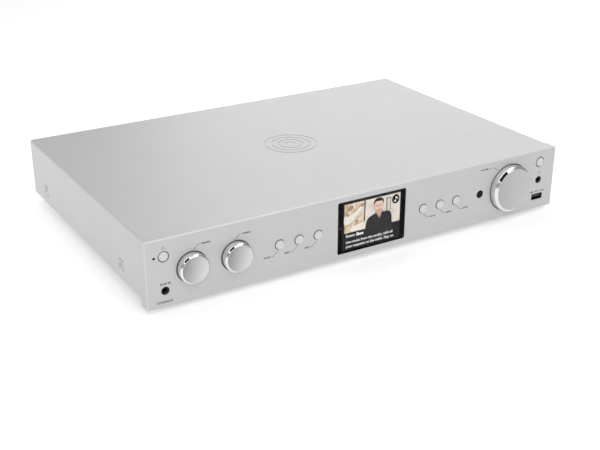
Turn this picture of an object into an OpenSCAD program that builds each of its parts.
// Slim full-width stereo receiver: aluminium fascia with knobs, buttons and a colour display,
// steel case, and the boards, sockets and amplifier parts inside it.
// Frame: +Z up, the fascia faces -Y, and the origin is the centre of the bounding box's base.
// Depths named "d" are measured from the fascia's front face into the case, towards +Y.

/* [Body] */
// Width of the case and the fascia
body_w = 430; // [430:1:440]
// Depth from the fascia's front face to the rear panel's outer face
body_d = 282; // [280:1:300]
// Height of the fascia
fascia_h = 60; // [60:1:64]
// Depth of the fascia's top, bottom and side returns
fascia_d = 12.7; // [12.4:0.1:14]
// Height of the feet
foot_h = 11; // [9:0.5:14]
// How far the fascia reaches below the case
skirt = 6; // [4:0.5:8]
// Sheet metal thickness
sheet = 1.2; // [1:0.1:1.4]

/* [Display] */
// Width of the display opening
display_w = 72; // [68:1:74]
// Height of the display opening
display_h = 49; // [46:1:50]

/* [Controls] */
// Radius of the tone knobs
tone_r = 13; // [12:0.5:13.5]
// How far the tone knobs stand proud of the fascia
tone_proud = 7.2; // [6.5:0.1:8]
// Radius of the volume knob
volume_r = 22.6; // [20:0.1:23]
// How far the volume knob stands proud of the fascia
volume_proud = 8.2; // [8.2:0.1:10]
// Radius of the button caps
button_r = 4.1; // [3.6:0.1:4.4]
// Travel of a button, and of the volume knob when it is pushed
press = 0.5; // [0.3:0.1:0.6]

/* [Rear] */
// How far the phono sockets reach behind the rear panel
rear_reach = 10; // [9.8:0.1:12]

/* [Hidden] */
$fn = 64;

// Levels and stations
front_y = volume_proud - (volume_proud + body_d + rear_reach) / 2;
rear_y = front_y + body_d;
fascia_z = foot_h - skirt;
top_z = fascia_z + fascia_h;
mid_z = fascia_z + fascia_h / 2;
floor_z = foot_h + sheet;
face_t = 4.5;      // thickness of the fascia's front wall
return_t = 3.5;    // thickness of the fascia's returns
edge_c = 0.8;      // bevel round the fascia's front
recess = 1.5;      // depth of the round recess that a knob sits in
frame_d = 7;       // front of the subframe plate
frame_back = frame_d + sheet;
board_d = 17;      // front of the control boards
board_t = 1.6;
cover_r = 2;       // bend radius of the cover's top edges

// Control positions across the fascia, and heights
tone_x = [-175, -135];
volume_x = 158;
left_button_x = [-94, -75, -56];
right_button_x = [56, 75, 94];
left_col = -199;
right_col = 195.5;
standby_z = mid_z + 14.6;
aux_z = mid_z - 15.4;
mute_z = mid_z + 18.4;
usb_z = mid_z - 17.4;
lamps = [[-207.3, standby_z, 1.05], [184.1, mid_z + 2, 1.9]];   // [x, z, radius]
ir_x = 122.4;
display_r = 1.6;

// Knob details
bevel = 1.3;          // axial depth of a tone knob's bevel
volume_bevel = 2.2;
knob_sink = 0.7;      // how far a knob reaches into its recess
knob_gap = 0.8;       // gap round a knob in its recess
index_deg = 35;       // a tone knob's index stands this far left of the top
volume_index_deg = 42;
shaft_r = 3;
running = 0.05;       // radial clearance of a turning shaft
bushing_r = 4.5;
encoder_bushing_r = 3.5;

// Buttons: [x, z, cap radius, hole radius, how far the cap stands proud]
standby_key = [left_col, standby_z, button_r, button_r + 0.75, -0.1];
mute_key = [right_col, mute_z, button_r + 0.3, button_r + 1.1, 0.6];
stem_r = 1.7;
function row_key(x) = [x, mid_z, button_r, button_r + 0.55, 1];
row_keys = [for (x = concat(left_button_x, right_button_x)) row_key(x)];
keys = concat([standby_key], row_keys, [mute_key]);

// Screws that hold the fascia, the control boards and the rear panel
fascia_screws = [for (x = [-155, -106, 106, 180], z = [-18, 18]) [x, mid_z + z]];
board_posts = [for (x = [-187, -66, 66, 138], z = [-18, 18]) [x, mid_z + z]];
rear_screws = [for (x = [-200, -130, -45, 60, 130, 200]) [x, floor_z + 4.2]];
cover_screws = [53, 244];   // depths of the cover's side screws
cover_screw_z = foot_h + 13.7;
foot_at = [for (x = [-172, 172], d = [42, 238]) [x, d]];

// Boards that lie in the tray: [x0, x1, d0, d1]
main_area = [4, 204, 118, 274];
power_area = [-206, -52, 92, 274];
display_cable = [18, 34];
lying_z = floor_z + 8;
lying_top = lying_z + board_t;
function corners(a, in) = [for (x = [a[0] + in, a[1] - in], d = [a[2] + in, a[3] - in]) [x, d]];
standoffs = concat(corners(main_area, 6), corners(power_area, 6));

// Rear sockets
inlet_x = -178;
speaker_x = -96;
phono_x = [22, 40];
phono_z = [mid_z - 9, mid_z + 9];
optical_x = 72;
network_x = 106;
antenna_x = 158;
socket_z = lying_top + 6.5;
phono_r = 4.15;
collar_r = 5.2;     // collar of a phono socket, through the panel
collar_out = 0.5;   // how far that collar stands out of the panel
antenna_r = 4.75;
antenna_flange = 1.5;
terminal_pitch = 17;
lever_pivot = [2, 8.5];    // from the block's middle: outwards, and up
trunnion_r = 1.2;
block_d = 12;              // how far the terminal block reaches into the case

// ---------- helpers ----------
// Places children on the fascia's axis direction: local z runs into the case
module front(x, z, d = 0) translate([x, front_y + d, z]) rotate([-90, 0, 0]) children();

// The same from the rear panel's outer face: local z runs outwards, away from the case
module rear(x, z, d = 0) front(x, z, body_d + d) children();

// A box between two x, two depths and two heights
module slab(x0, x1, d0, d1, z0, z1)
  translate([x0, front_y + d0, z0]) cube([x1 - x0, d1 - d0, z1 - z0]);

// A rectangle with round corners, centred
module rounded(w, h, r) {
  square([w - 2 * r, h], center = true);
  square([w, h - 2 * r], center = true);
  for (x = [-1, 1], y = [-1, 1]) translate([x * (w / 2 - r), y * (h / 2 - r)]) circle(r);
}

// An (x, z) outline carried from depth d0 to depth d1
module along_depth(d0, d1)
  translate([0, front_y + d1, 0]) rotate([90, 0, 0]) linear_extrude(d1 - d0) children();

// A (y, z) outline carried from x0 to x1; its y is a depth from the fascia
module along_width(x0, x1)
  translate([x0, front_y, 0]) rotate([90, 0, 90]) linear_extrude(x1 - x0) children();

// A closed arch with round top corners, of width w, from z0 up to z1
module arch(w, z0, z1, r) {
  translate([-w / 2, z0]) square([w, z1 - z0 - r]);
  translate([-w / 2 + r, z0]) square([w - 2 * r, z1 - z0]);
  for (x = [-1, 1]) translate([x * (w / 2 - r), z1 - r]) circle(r);
}

// Pan-head screw along local z, head at z < 0, with a cross recess
module screw(r, length, head_r, head_h) {
  difference() {
    union() {
      translate([0, 0, -head_h * 0.6]) cylinder(h = head_h * 0.6, r = head_r);
      translate([0, 0, -head_h]) cylinder(h = head_h * 0.4, r1 = head_r * 0.78, r2 = head_r);
      cylinder(h = length, r = r);
    }
    for (a = [0, 90]) rotate([0, 0, a])
      translate([-head_r * 0.55, -head_r * 0.12, -head_h - 1])
        cube([head_r * 1.1, head_r * 0.24, head_h * 0.55 + 1]);
  }
}

// ---------- case ----------
module front_fascia() color("silver") difference() {
  union() {
    difference() {
      intersection() {
        along_width(-body_w / 2, body_w / 2) polygon([
          [edge_c, fascia_z], [fascia_d, fascia_z], [fascia_d, top_z], [edge_c, top_z],
          [0, top_z - edge_c], [0, fascia_z + edge_c]]);
        translate([0, front_y, fascia_z]) linear_extrude(fascia_h) polygon([
          [-body_w / 2 + edge_c, 0], [body_w / 2 - edge_c, 0], [body_w / 2, edge_c],
          [body_w / 2, fascia_d], [-body_w / 2, fascia_d], [-body_w / 2, edge_c]]);
      }
      slab(-body_w / 2 + return_t, body_w / 2 - return_t, face_t, fascia_d + 1,
           fascia_z + skirt, top_z - return_t);
    }
    for (s = fascia_screws) front(s[0], s[1], face_t - 0.5) cylinder(h = frame_d - face_t + 0.5, r = 3.5);
  }
  for (s = fascia_screws) front(s[0], s[1], face_t - 2) cylinder(h = 10, r = 1.45);
  for (k = keys) front(k[0], k[1], -1) cylinder(h = face_t + 2, r = k[3]);
  for (x = tone_x) knob_seat(x, tone_r);
  knob_seat(volume_x, volume_r);
  front(0, mid_z, -1) linear_extrude(face_t + 2) rounded(display_w, display_h, display_r);
  for (j = [[left_col, aux_z], [right_col, mid_z]]) front(j[0], j[1], -1) cylinder(h = face_t + 2, r = 3.65);
  front(right_col, usb_z, -1) linear_extrude(face_t + 2) rounded(13.6, 6.2, 0.6);
  front(ir_x, mid_z, -1) cylinder(h = face_t + 2, r = 3.9);
  for (l = lamps) front(l[0], l[1], -1) cylinder(h = face_t + 2, r = l[2] + 0.1);
}

// Round recess for a knob, with the hole that the control's bushing passes
module knob_seat(x, r) {
  front(x, mid_z, -1) cylinder(h = recess + 1, r = r + knob_gap, $fn = 128);
  front(x, mid_z, 0) cylinder(h = face_t + 1, r = bushing_r + 0.6);
}

module front_subframe() color("gainsboro") difference() {
  union() {
    slab(-208, 208, frame_d, frame_back, foot_h + 0.2, top_z - 4);
    slab(-205, 205, frame_d + sheet / 2, 30, floor_z, floor_z + sheet);
    for (p = board_posts) front(p[0], p[1], frame_d + sheet / 2)
      cylinder(h = board_d - frame_d - sheet / 2, r = 3);
  }
  for (s = fascia_screws) front(s[0], s[1], frame_d - 1) cylinder(h = sheet + 2, r = 1.6);
  for (p = board_posts) front(p[0], p[1], frame_back + 1) cylinder(h = 10, r = 1.3);
  for (k = keys) front(k[0], k[1], frame_d - 1) cylinder(h = sheet + 2, r = 2.3);
  for (x = tone_x) front(x, mid_z, frame_d - 1) cylinder(h = sheet + 2, r = bushing_r + 0.1);
  front(volume_x, mid_z, frame_d - 1) cylinder(h = sheet + 2, r = encoder_bushing_r + 0.1);
  for (j = [[left_col, aux_z], [right_col, mid_z]]) front(j[0], j[1], frame_d - 1)
    cylinder(h = sheet + 2, r = 3.8);
  slab(right_col - 7, right_col + 7, frame_d - 1, frame_back + 1, usb_z - 3.5, usb_z + 3.5);
  front(ir_x, mid_z, frame_d - 1) cylinder(h = sheet + 2, r = 3.2);
  for (l = lamps) front(l[0], l[1], frame_d - 2) cylinder(h = sheet + 4, r = l[2] + 0.25);
  slab(display_cable[0] - 2, display_cable[1] + 2, frame_d - 1, frame_back + 1, floor_z + 7, floor_z + 12);
}

tray_w = body_w - 2 * (sheet + 1.6);
module chassis_tray() color("lightgray") difference() {
  union() {
    along_depth(fascia_d, body_d - sheet) difference() {
      mirror([0, 1]) arch(tray_w, -foot_h - 28, -foot_h, 1.8);
      mirror([0, 1]) arch(tray_w - 2 * sheet, -foot_h - 30, -foot_h - sheet, 1.8 - sheet);
    }
    slab(-tray_w / 2 + 4, tray_w / 2 - 4, body_d - 2 * sheet, body_d - sheet, floor_z - sheet / 2, floor_z + 8.6);
    for (p = standoffs) translate([p[0], front_y + p[1], floor_z - sheet / 2])
      cylinder(h = lying_z - floor_z + sheet / 2, r = 3.5);
  }
  for (p = standoffs) translate([p[0], front_y + p[1], floor_z - 5]) cylinder(h = 20, r = 1.3);
  for (p = foot_at) translate([p[0], front_y + p[1], foot_h - 1]) cylinder(h = sheet + 2, r = 2.1);
  for (s = rear_screws) rear(s[0], s[1], -2 * sheet - 1) cylinder(h = sheet + 2, r = 1.45);
  for (side = [-1, 1], d = cover_screws) translate([side * (tray_w / 2 - 2), front_y + d, cover_screw_z])
    rotate([0, 90, 0]) cylinder(h = 6, r = 2.05, center = true);
  for (x = [-150, -70, 30, 110], i = [0 : 8])
    slab(x, x + 38, 120 + 11 * i, 123 + 11 * i, foot_h - 1, floor_z + 1);
}

dish_depth = 1.4;   // depth of the pressed dish round a side screw
module top_cover() color("silver") difference() {
  union() {
    along_depth(fascia_d, body_d) difference() {
      arch(body_w, foot_h, top_z, cover_r);
      arch(body_w - 2 * sheet, foot_h - 1, top_z - sheet, cover_r - sheet);
    }
    for (side = [-1, 1], d = cover_screws) cover_dish(side, d)
      translate([0, 0, sheet - 0.2]) cylinder(h = dish_depth + 0.2, r1 = 7.4, r2 = 6.2);
  }
  for (side = [-1, 1], d = cover_screws) cover_dish(side, d) {
    translate([0, 0, -0.3]) cylinder(h = dish_depth + 0.3, r1 = 6.9, r2 = 5.2);
    cylinder(h = 5, r = 2.2);
  }
  // Plain round emblem pressed into the top: three rings and a disc
  for (r = [26.5, 19.5, 12.5]) emblem_ring(r);
  translate([0, front_y + body_d / 2, top_z - 0.35]) cylinder(h = 1, r = 5.5);
}

module emblem_ring(r) translate([0, front_y + body_d / 2, top_z - 0.35]) difference() {
  cylinder(h = 1, r = r, $fn = 128);
  translate([0, 0, -1]) cylinder(h = 3, r = r - 1.6, $fn = 128);
}

// Local z runs inwards from the case's side face
module cover_dish(side, d)
  translate([side * body_w / 2, front_y + d, cover_screw_z]) rotate([0, -90 * side, 0]) children();

module rear_panel() color("lightgray") difference() {
  slab(-body_w / 2 + sheet + 0.1, body_w / 2 - sheet - 0.1, body_d - sheet, body_d,
       foot_h, top_z - sheet - 0.1);
  // the cover's bend leaves no room for square top corners
  for (side = [-1, 1]) translate([side * (body_w / 2 - sheet), rear_y - sheet / 2, top_z - sheet])
    rotate([0, 45, 0]) cube([2, 3, 2], center = true);
  for (s = rear_screws) rear(s[0], s[1], -3) cylinder(h = 5, r = 1.6);
  rear(inlet_x, mid_z, -3) linear_extrude(5) rounded(21.4, 13.4, 1.7);
  rear(speaker_x, mid_z, -3) linear_extrude(5) square([4 * terminal_pitch + 1, 26], center = true);
  for (x = phono_x, z = phono_z) rear(x, z, -3) cylinder(h = 5, r = collar_r + 0.25);
  rear(optical_x, socket_z, -3) linear_extrude(5) square([10.2, 10.2], center = true);
  rear(network_x, socket_z + 0.5, -3) linear_extrude(5) square([16.4, 14.4], center = true);
  rear(antenna_x, socket_z, -3) cylinder(h = 5, r = antenna_r + 0.3);
  for (x = [-20 : 6 : 4], i = [0 : 1]) rear(x, mid_z - 8 + 20 * i, -3)
    linear_extrude(5) rounded(3, 14, 1.4);
}

module feet() color("dimgray") for (p = foot_at) translate([p[0], front_y + p[1], 0]) rotate_extrude()
  polygon([[5.5, 0], [12, 0], [13, 1], [14, foot_h - 1.5], [14, foot_h], [2.1, foot_h],
           [2.1, foot_h - 3], [5.5, foot_h - 3]]);

module cover_side_screws() color("silver") for (side = [-1, 1], d = cover_screws)
  cover_dish(side, d) translate([0, 0, dish_depth]) screw(2, 6, 4, 1.15);

module chassis_screws() color("darkgray") {
  for (p = foot_at) translate([p[0], front_y + p[1], foot_h - 3]) screw(2, 9, 4, 2.2);
  for (s = fascia_screws) front(s[0], s[1], frame_back) mirror([0, 0, 1]) screw(1.4, 4.5, 2.8, 2);
  for (p = board_posts) front(p[0], p[1], board_d + board_t) mirror([0, 0, 1]) screw(1.25, 7, 2.6, 1.8);
  for (s = rear_screws) rear(s[0], s[1]) mirror([0, 0, 1]) screw(1.4, 5, 2.8, 2);
  for (p = standoffs) translate([p[0], front_y + p[1], lying_top]) mirror([0, 0, 1])
    screw(1.25, 7, 2.8, 1.9);
}

// ---------- buttons ----------
// Cap, retaining flange and the stem that enters its switch
module push_button(k) color("silver") front(k[0], k[1]) {
  r = k[2];
  p = k[4];
  rotate_extrude() polygon([[0, 0.2 - p], [r - 1.6, 0.12 - p], [r - 0.35, -p], [r - 0.1, 0.1 - p], [r, 0.4 - p],
    [r, face_t + 0.1], [r + 1.2, face_t + 0.1], [r + 1.2, face_t + 1.1], [stem_r, face_t + 1.1],
    [stem_r, board_d - 1], [0, board_d - 1]]);
}

module tact_switches() color("dimgray") for (k = keys) difference() {
  slab(k[0] - 3, k[0] + 3, board_d - 4, board_d, k[1] - 3, k[1] + 3);
  front(k[0], k[1], board_d - 5) cylinder(h = 5 - 0.2, r = stem_r + 0.3);
}

// ---------- knobs and what they turn ----------
// Turned knob: flat face, wide bevel, thin skirt and a hub with a D-shaped bore
module knob(x, r, proud, cut, a, half) color("silver") front(x, mid_z, -proud) {
  face = r - cut;
  len = proud + knob_sink;
  difference() {
    rotate_extrude($fn = 128) polygon([[0, 0], [face - 0.15, 0], [face, 0.05], [r - 0.06, cut - 0.06], [r, cut + 0.1],
      [r, len - 0.2], [r - 0.2, len], [r - 2, len], [r - 2, 3.6], [6.5, 3.6], [6.5, len], [0, len]]);
    translate([0, 0, 2.4]) difference() {
      cylinder(h = len, r = shaft_r + running);
      translate([1.5 + running, -5, -1]) cube([5, 10, len + 2]);
    }
    rotate([0, 0, 270 - a - half]) rotate_extrude(angle = 2 * half, $fn = 128)
      polygon(index_outline(face, cut, 0.6));
  }
}

// Parallelogram under the inner part of the bevel, reaching "out" beyond its surface
index_share = 0.9;   // of the bevel's width
function index_outline(face, cut, out) = [[face + out, -out],
  [face + index_share * cut + out, index_share * cut - out],
  [face + index_share * cut - 0.45, index_share * cut + 0.45], [face - 0.45, 0.45]];

// Black index let into the bevel, flush with it
module knob_index(x, r, proud, cut, a, half) color("black") front(x, mid_z, -proud)
  rotate([0, 0, 270 - a - half]) rotate_extrude(angle = 2 * half, $fn = 128)
    polygon(index_outline(r - cut, cut, -0.02));

// Shaft from the knob's bore back into its control, with a flat in the knob
module knob_shaft(x, proud, back) color("gainsboro") front(x, mid_z, -proud) difference() {
  translate([0, 0, 2.6]) cylinder(h = proud + back - 2.6, r = shaft_r);
  translate([1.5, -5, 2]) cube([5, 10, proud + recess - 0.5]);
}

shaft_back = 12;
module tone_pot(x) color("slategray") front(x, mid_z) difference() {
  union() {
    translate([0, 0, 3.2]) cylinder(h = 6, r = bushing_r);
    translate([0, 0, frame_back]) cylinder(h = board_d - frame_back, r = 8);
    translate([-6, 0, frame_back]) cube([12, 11, board_d - frame_back]);
  }
  translate([0, 0, 3]) cylinder(h = shaft_back - 3 + 0.4, r = shaft_r + running);
}

module volume_encoder() color("slategray") front(volume_x, mid_z) difference() {
  union() {
    translate([0, 0, 3.2]) cylinder(h = 6, r = encoder_bushing_r);
    translate([-6.5, -6.5, frame_back]) cube([13, 13, board_d - frame_back]);
  }
  translate([0, 0, 3]) cylinder(h = shaft_back - 3 + press + 0.2, r = shaft_r + running);
  translate([0, 0, 3]) cylinder(h = board_d - 3 - 0.6, r = 1.8);
}

// Actuator of the encoder's push switch
module encoder_plunger() color("ivory") front(volume_x, mid_z, shaft_back) cylinder(h = 3.6, r = 1.5);

module control_nuts() color("gainsboro") {
  for (x = tone_x) front(x, mid_z, frame_d - 2.1) hex_nut(6.6, bushing_r + 0.02, 2.1);
  front(volume_x, mid_z, frame_d - 2.1) hex_nut(5.8, encoder_bushing_r + 0.02, 2.1);
}

module hex_nut(r, bore, h) difference() {
  cylinder(h = h, r = r, $fn = 6);
  translate([0, 0, -1]) cylinder(h = h + 2, r = bore);
}

// ---------- display, lamp and remote receiver ----------
module display_window() color("black", 0.5) front(0, mid_z, 0.3)
  linear_extrude(2) rounded(display_w - 0.3, display_h - 0.3, display_r - 0.15);

module display_gasket() color("black") front(0, mid_z, 2.3) linear_extrude(face_t - 2.3) difference() {
  rounded(display_w - 0.3, display_h - 0.3, display_r - 0.15);
  translate([0.9, 0]) square([62, 46], center = true);
}

module lcd_panel() color("darkslategray")
  slab(-display_w / 2 - 1, display_w / 2 + 1, face_t, frame_d - 0.1, foot_h + 0.3, 2 * mid_z - foot_h - 0.3);

module ir_lens() color("darkred") front(ir_x, mid_z) rotate_extrude() polygon([[0, 0.15], [3.4, 0.25],
  [3.8, 0.6], [3.8, face_t], [4.8, face_t], [4.8, face_t + 1], [0, face_t + 1]]);

module ir_sensor() color("dimgray") {
  slab(ir_x - 3.5, ir_x + 3.5, board_d - 5, board_d, mid_z - 3.5, mid_z + 3.5);
  front(ir_x, mid_z, board_d - 7) cylinder(h = 2, r = 2.5);
}

module indicator_light_pipes() color("darkslategray") for (l = lamps) front(l[0], l[1]) rotate_extrude()
  polygon([[0, 0.05], [l[2] - 0.35, 0.15], [l[2], 0.45], [l[2], board_d], [0, board_d]]);

// ---------- front sockets ----------
module phone_jack(x, z) color("dimgray") difference() {
  union() {
    front(x, z) rotate_extrude() polygon([[0, 0.4], [3.2, 0.4], [3.55, 0.7], [3.55, 10], [0, 10]]);
    slab(x - 6, x + 6, frame_back + 0.1, board_d, z - 6, z + 5.5);
  }
  front(x, z) cylinder(h = board_d - 1, r = 1.8);
  front(x, z, -0.6) cylinder(h = 1.8, r1 = 3.6, r2 = 1.8);
}

usb_w = 13.1;
usb_h = 5.7;
module usb_port() color("lightgray") {
  difference() {
    front(right_col, usb_z, 0.3) linear_extrude(board_d - 0.3) rounded(usb_w, usb_h, 0.45);
    front(right_col, usb_z, -1) linear_extrude(board_d - 1) rounded(usb_w - 0.6, usb_h - 0.6, 0.3);
  }
  slab(right_col - 5.6, right_col + 5.6, 2, board_d - 2, usb_z + 0.2, usb_z + 2.05);
}

// ---------- boards and what they carry ----------
module control_boards() color("darkgreen") difference() {
  union() {
    slab(-208, -44, board_d, board_d + board_t, floor_z + 2, top_z - 5);
    slab(44, 208, board_d, board_d + board_t, floor_z + 2, top_z - 5);
  }
  for (p = board_posts) front(p[0], p[1], board_d - 1) cylinder(h = board_t + 2, r = 1.5);
}

module lying_board(a) difference() {
  slab(a[0], a[1], a[2], a[3], lying_z, lying_top);
  for (p = corners(a, 6)) translate([p[0], front_y + p[1], lying_z - 1]) cylinder(h = board_t + 2, r = 1.5);
}

module main_board() color("darkgreen") {
  lying_board(main_area);
  for (c = [[60, 190, 12], [110, 170, 18], [150, 150, 10], [40, 150, 8]])
    slab(c[0], c[0] + c[2], c[1], c[1] + c[2], lying_top, lying_top + 1.6);
}

module power_board() color("darkgreen") lying_board(power_area);

module mains_transformer() color("goldenrod") {
  x = -150;
  d = 200;
  slab(x - 22, x + 22, d - 6, d + 6, lying_top, lying_top + 6);
  difference() {
    slab(x - 22, x + 22, d - 6, d + 6, lying_top + 6, lying_top + 30);
    slab(x - 15, x + 15, d - 7, d + 7, lying_top + 6, lying_top + 24);
  }
  difference() {
    translate([x, front_y + d, lying_top + 6]) cylinder(h = 18, r = 14.5);
    translate([x, front_y + d, lying_top + 5]) cylinder(h = 20, r = 5.5);
  }
  translate([x, front_y + d, lying_top + 6]) cylinder(h = 18, r = 5.4);
}

sink_x = -46;
module heat_sink() color("gray") {
  slab(sink_x - 4, sink_x, 120, 230, floor_z, floor_z + 38);
  for (i = [0 : 10]) slab(sink_x, sink_x + 24, 121 + 10.6 * i, 123 + 10.6 * i, floor_z, floor_z + 38);
}

module amplifier_chips() color("black") for (d = [145, 185]) {
  slab(sink_x - 8.6, sink_x - 4, d, d + 20, lying_top + 5, lying_top + 21);
  for (i = [0 : 4]) slab(sink_x - 7, sink_x - 6.2, d + 2 + 3.6 * i, d + 3 + 3.6 * i, lying_top, lying_top + 5);
}

module power_capacitors() color("midnightblue")
  for (p = [[-90, 120], [-90, 148], [-118, 120], [-118, 148], [-180, 130], [-180, 156]])
    translate([p[0], front_y + p[1], lying_top]) difference() {
      cylinder(h = 30, r = 10);
      translate([0, 0, 26.5]) difference() {
        cylinder(h = 1, r = 11);
        translate([0, 0, -1]) cylinder(h = 3, r = 9.4);
      }
    }

// Flat cables from the control boards and the display back to the boards in the tray
module ribbon_cables() color("lightgray") {
  flat_cable(56, 84, board_d + board_t, main_area[2] + 8);
  flat_cable(-98, -74, board_d + board_t, power_area[2] + 8);
  flat_cable(display_cable[0], display_cable[1], frame_d - 0.1, main_area[2] + 8);
}

module flat_cable(x0, x1, d0, d1) along_width(x0, x1) polygon([
  [d0, floor_z + 9], [d0 + 9, floor_z + 9], [d0 + 14, floor_z + 3], [d1 - 16, floor_z + 3],
  [d1 - 6, lying_top + 6], [d1, lying_top + 6], [d1, lying_top], [d1 + 1, lying_top],
  [d1 + 1, lying_top + 7], [d1 - 6.5, lying_top + 7], [d1 - 16.5, floor_z + 4],
  [d0 + 14.5, floor_z + 4], [d0 + 9.5, floor_z + 10], [d0, floor_z + 10]]);

// Insulated wires from the power board up and back to the speaker terminals
wire_r = 1.1;
wire_bend = 4;
module speaker_wiring() color("firebrick") for (i = [0 : 3]) terminal_x(i) translate([0, -block_d - 14, 0]) {
  drop = mid_z - 7 - lying_top;
  translate([0, 0, -7 - drop]) cylinder(h = drop - wire_bend, r = wire_r);
  translate([0, wire_bend, -7 - wire_bend]) rotate([0, -90, 0]) rotate([0, 0, -90])
    rotate_extrude(angle = 90) translate([wire_bend, 0]) circle(wire_r);
  translate([0, wire_bend, -7]) rotate([-90, 0, 0]) cylinder(h = 14 - wire_bend, r = wire_r);
}

module tuner_module() color("lightgray") difference() {
  slab(antenna_x - 22, antenna_x + 22, 214, 262, lying_top, lying_top + 13);
  slab(antenna_x - 21.5, antenna_x + 21.5, 214.5, 261.5, lying_top - 1, lying_top + 12.5);
}

// ---------- rear sockets ----------
module antenna_socket() color("gold") difference() {
  union() {
    rear(antenna_x, socket_z, 0.5) cylinder(h = 9, r = antenna_r);
    rear(antenna_x, socket_z) cylinder(h = antenna_flange, r = 6.4);
    rear(antenna_x, socket_z, -12) cylinder(h = 12.5, r = antenna_r - 0.25);
    rear(antenna_x, socket_z, -sheet - 2) cylinder(h = 2, r = 7.2, $fn = 6);
  }
  rear(antenna_x, socket_z, antenna_flange) cylinder(h = 20, r = 4);
  rear(antenna_x, socket_z, 0) cylinder(h = 20, r = 0.6);
}

// Block behind the panel, and four sockets: collar, shell, and insulator with the centre contact's hole
module phono_sockets() color("gold") {
  behind = sheet + 3;
  slab(phono_x[0] - 8, phono_x[1] + 8, body_d - sheet - 12, body_d - behind - 0.1, lying_top, phono_z[1] + 8);
  for (x = phono_x, z = phono_z) rear(x, z, -behind) difference() {
    union() {
      cylinder(h = behind + collar_out, r = collar_r);
      cylinder(h = behind + rear_reach, r = phono_r);
    }
    translate([0, 0, behind + rear_reach - 0.8]) cylinder(h = 2, r = 3.3);
    translate([0, 0, 2]) cylinder(h = 40, r = 1.65);
  }
}

module network_socket() color("silver") difference() {
  slab(network_x - 8, network_x + 8, body_d - 15, body_d + 0.8, lying_top, socket_z + 7.5);
  slab(network_x - 5.9, network_x + 5.9, body_d - 11, body_d + 2, socket_z - 3.4, socket_z + 3.6);
  slab(network_x - 3, network_x + 3, body_d - 11, body_d + 2, socket_z - 5, socket_z - 3.2);
}

module optical_socket() color("dimgray") difference() {
  slab(optical_x - 4.9, optical_x + 4.9, body_d - 12, body_d + 1, socket_z - 4.9, socket_z + 4.9);
  slab(optical_x - 3.6, optical_x + 3.6, body_d - 8, body_d + 2, socket_z - 3.6, socket_z + 3.6);
}

// Two-pin inlet: flange, shroud with a figure-of-eight recess, and two pins
module mains_inlet() color("dimgray") {
  difference() {
    union() {
      rear(inlet_x, mid_z) linear_extrude(1.8) rounded(30, 17, 2.5);
      rear(inlet_x, mid_z, -16) linear_extrude(16) rounded(21, 13, 1.5);
    }
    rear(inlet_x, mid_z, -11) linear_extrude(20) rounded(17.6, 9.2, 4.55);
    for (side = [-1, 1]) rear(inlet_x + side * 4.3, mid_z, -14) cylinder(h = 4, r = 1.2);
  }
  for (side = [-1, 1]) rear(inlet_x + side * 4.3, mid_z, -14) cylinder(h = 11, r = 1.2);
}

module terminal_x(i) translate([speaker_x + (i - 1.5) * terminal_pitch, rear_y, mid_z]) children();

// Frame round four modules, each with a slot for its lever, a pivot hole and a wire hole below
module speaker_terminal_block() color("dimgray") {
  difference() {
    slab(speaker_x - 38, speaker_x + 38, body_d, body_d + 6, mid_z - 15, mid_z + 15);
    slab(speaker_x - 2 * terminal_pitch - 0.1, speaker_x + 2 * terminal_pitch + 0.1, body_d - 1, body_d + 7,
         mid_z - 12.6, mid_z + 12.6);
  }
  for (i = [0 : 3]) terminal_x(i) difference() {
    translate([-terminal_pitch / 2 + 0.1, -block_d, -12.5]) cube([terminal_pitch - 0.2, block_d + 6, 25]);
    translate([-5, -5, -2.6]) cube([10, 20, 14.1]);
    translate([0, lever_pivot[0], lever_pivot[1]]) rotate([0, 90, 0])
      cylinder(h = 13, r = trunnion_r + running, center = true);
    translate([0, -8, -7]) rotate([-90, 0, 0]) cylinder(h = 20, r = 1.6);
  }
}

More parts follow.
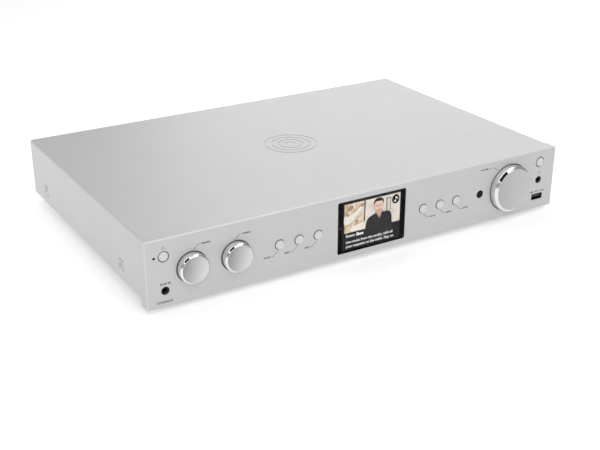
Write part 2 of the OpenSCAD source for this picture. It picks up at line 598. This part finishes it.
// Sprung lever with its own trunnions; its finger pad leans outwards
module speaker_lever(i) color(i % 2 == 0 ? "firebrick" : "black") terminal_x(i) {
  translate([-4.5, 0, 0]) rotate([90, 0, 90]) linear_extrude(9) union() {
    translate(lever_pivot) circle(2.4);
    polygon([[lever_pivot[0] - 1.2, lever_pivot[1] - 2], [4.2, 7.6], [9.4, 1.4], [9, 0.4], [5.6, 0.2]]);
  }
  translate([0, lever_pivot[0], lever_pivot[1]]) rotate([0, 90, 0])
    cylinder(h = 12.4, r = trunnion_r, center = true);
}

front_fascia();
front_subframe();
chassis_tray();
top_cover();
rear_panel();
feet();
cover_side_screws();
chassis_screws();
push_button(standby_key);  // standby_button
push_button(row_keys[0]);  // source_button
push_button(row_keys[1]);  // preset_button
push_button(row_keys[2]);  // info_button
push_button(row_keys[3]);  // back_button
push_button(row_keys[4]);  // menu_button
push_button(row_keys[5]);  // enter_button
push_button(mute_key);  // mute_button
tact_switches();
knob(tone_x[0], tone_r, tone_proud, bevel, index_deg, 12);  // bass_knob
knob_index(tone_x[0], tone_r, tone_proud, bevel, index_deg, 12);  // bass_knob_index
knob_shaft(tone_x[0], tone_proud, shaft_back);  // bass_pot_shaft
tone_pot(tone_x[0]);  // bass_pot
knob(tone_x[1], tone_r, tone_proud, bevel, index_deg, 12);  // treble_knob
knob_index(tone_x[1], tone_r, tone_proud, bevel, index_deg, 12);  // treble_knob_index
knob_shaft(tone_x[1], tone_proud, shaft_back);  // treble_pot_shaft
tone_pot(tone_x[1]);  // treble_pot
knob(volume_x, volume_r, volume_proud, volume_bevel, volume_index_deg, 15);  // volume_knob
knob_index(volume_x, volume_r, volume_proud, volume_bevel, volume_index_deg, 15);  // volume_knob_index
knob_shaft(volume_x, volume_proud, shaft_back);  // volume_encoder_shaft
volume_encoder();
encoder_plunger();
control_nuts();
display_window();
display_gasket();
lcd_panel();
ir_lens();
ir_sensor();
indicator_light_pipes();
phone_jack(left_col, aux_z);  // aux_in_jack
phone_jack(right_col, mid_z);  // headphone_jack
usb_port();
control_boards();
main_board();
power_board();
mains_transformer();
heat_sink();
amplifier_chips();
power_capacitors();
ribbon_cables();
speaker_wiring();
tuner_module();
antenna_socket();
phono_sockets();
network_socket();
optical_socket();
mains_inlet();
speaker_terminal_block();
speaker_lever(0);  // speaker_lever_1
speaker_lever(1);  // speaker_lever_2
speaker_lever(2);  // speaker_lever_3
speaker_lever(3);  // speaker_lever_4
